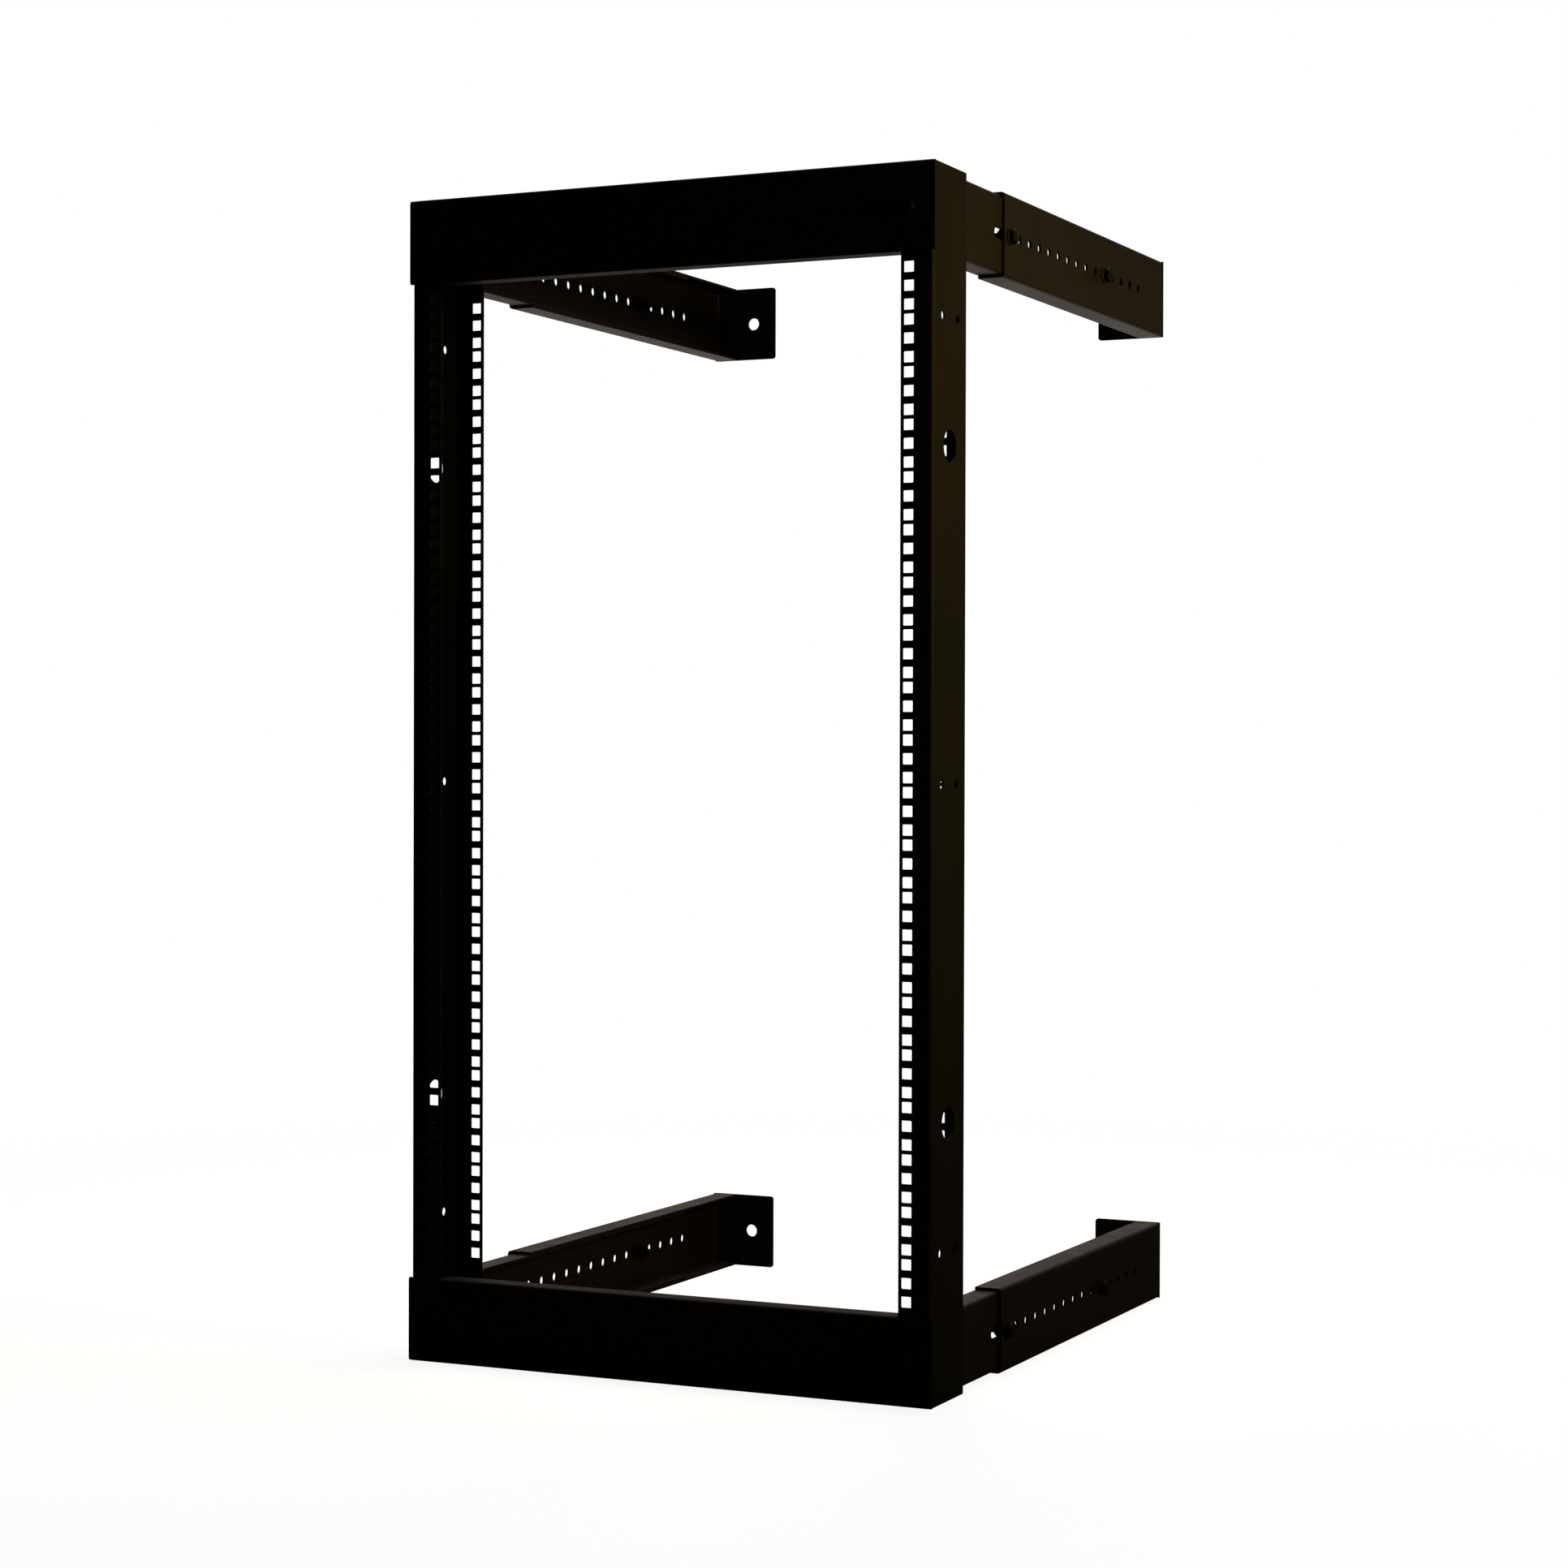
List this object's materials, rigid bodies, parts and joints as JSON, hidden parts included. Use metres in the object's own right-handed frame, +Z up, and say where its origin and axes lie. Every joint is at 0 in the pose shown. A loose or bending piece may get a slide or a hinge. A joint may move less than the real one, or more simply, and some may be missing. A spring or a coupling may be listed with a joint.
{
  "type": "wall mount open frame rack",
  "caption": "Open frame rack for a wall: perforated channel uprights joined by cross members, held off the wall by telescoping channel arms with bent wall plates.",
  "frame": {"origin": "under the middle of the rack's box, on the floor that it stands on", "axes": "+Z up along the uprights, +Y from the front of the rack to the wall, +X to the right seen from the front"},
  "size_m": [0.5206, 0.6277, 1.0541],
  "materials": {
    "frame_coat": "satin black powder coat",
    "arm_coat": "satin black powder coat",
    "fasteners": "black oxide steel"
  },
  "bodies": {
    "frame": {"upright_left": "frame_coat", "upright_right": "frame_coat", "cross_member_top": "frame_coat", "cross_member_bottom": "frame_coat", "inner_arm_top_left": "arm_coat", "member_screw_top_left": "fasteners", "member_nut_top_left": "fasteners", "tab_bolt_top_left_upper": "fasteners", "tab_bolt_top_left_lower": "fasteners", "tab_nut_top_left_upper": "fasteners", "tab_nut_top_left_lower": "fasteners", "inner_arm_top_right": "arm_coat", "member_screw_top_right": "fasteners", "member_nut_top_right": "fasteners", "tab_bolt_top_right_upper": "fasteners", "tab_bolt_top_right_lower": "fasteners", "tab_nut_top_right_upper": "fasteners", "tab_nut_top_right_lower": "fasteners", "inner_arm_bottom_left": "arm_coat", "member_screw_bottom_left": "fasteners", "member_nut_bottom_left": "fasteners", "tab_bolt_bottom_left_upper": "fasteners", "tab_bolt_bottom_left_lower": "fasteners", "tab_nut_bottom_left_upper": "fasteners", "tab_nut_bottom_left_lower": "fasteners", "inner_arm_bottom_right": "arm_coat", "member_screw_bottom_right": "fasteners", "member_nut_bottom_right": "fasteners", "tab_bolt_bottom_right_upper": "fasteners", "tab_bolt_bottom_right_lower": "fasteners", "tab_nut_bottom_right_upper": "fasteners", "tab_nut_bottom_right_lower": "fasteners"},
    "arm_top_left": {"outer_arm_top_left": "arm_coat", "arm_bolt_top_left_front": "fasteners", "arm_bolt_top_left_rear": "fasteners", "arm_nut_top_left_front": "fasteners", "arm_nut_top_left_rear": "fasteners"},
    "arm_top_right": {"outer_arm_top_right": "arm_coat", "arm_bolt_top_right_front": "fasteners", "arm_bolt_top_right_rear": "fasteners", "arm_nut_top_right_front": "fasteners", "arm_nut_top_right_rear": "fasteners"},
    "arm_bottom_left": {"outer_arm_bottom_left": "arm_coat", "arm_bolt_bottom_left_front": "fasteners", "arm_bolt_bottom_left_rear": "fasteners", "arm_nut_bottom_left_front": "fasteners", "arm_nut_bottom_left_rear": "fasteners"},
    "arm_bottom_right": {"outer_arm_bottom_right": "arm_coat", "arm_bolt_bottom_right_front": "fasteners", "arm_bolt_bottom_right_rear": "fasteners", "arm_nut_bottom_right_front": "fasteners", "arm_nut_bottom_right_rear": "fasteners"}
  },
  "joints": [
    {"name": "slide_top_left", "type": "slide", "parent": "frame", "child": "arm_top_left", "axis": [0, 1, 0], "range_m": [-0.0254, 0.0508]},
    {"name": "slide_top_right", "type": "slide", "parent": "frame", "child": "arm_top_right", "axis": [0, 1, 0], "range_m": [-0.0254, 0.0508]},
    {"name": "slide_bottom_left", "type": "slide", "parent": "frame", "child": "arm_bottom_left", "axis": [0, 1, 0], "range_m": [-0.0254, 0.0508]},
    {"name": "slide_bottom_right", "type": "slide", "parent": "frame", "child": "arm_bottom_right", "axis": [0, 1, 0], "range_m": [-0.0254, 0.0508]}
  ]
}
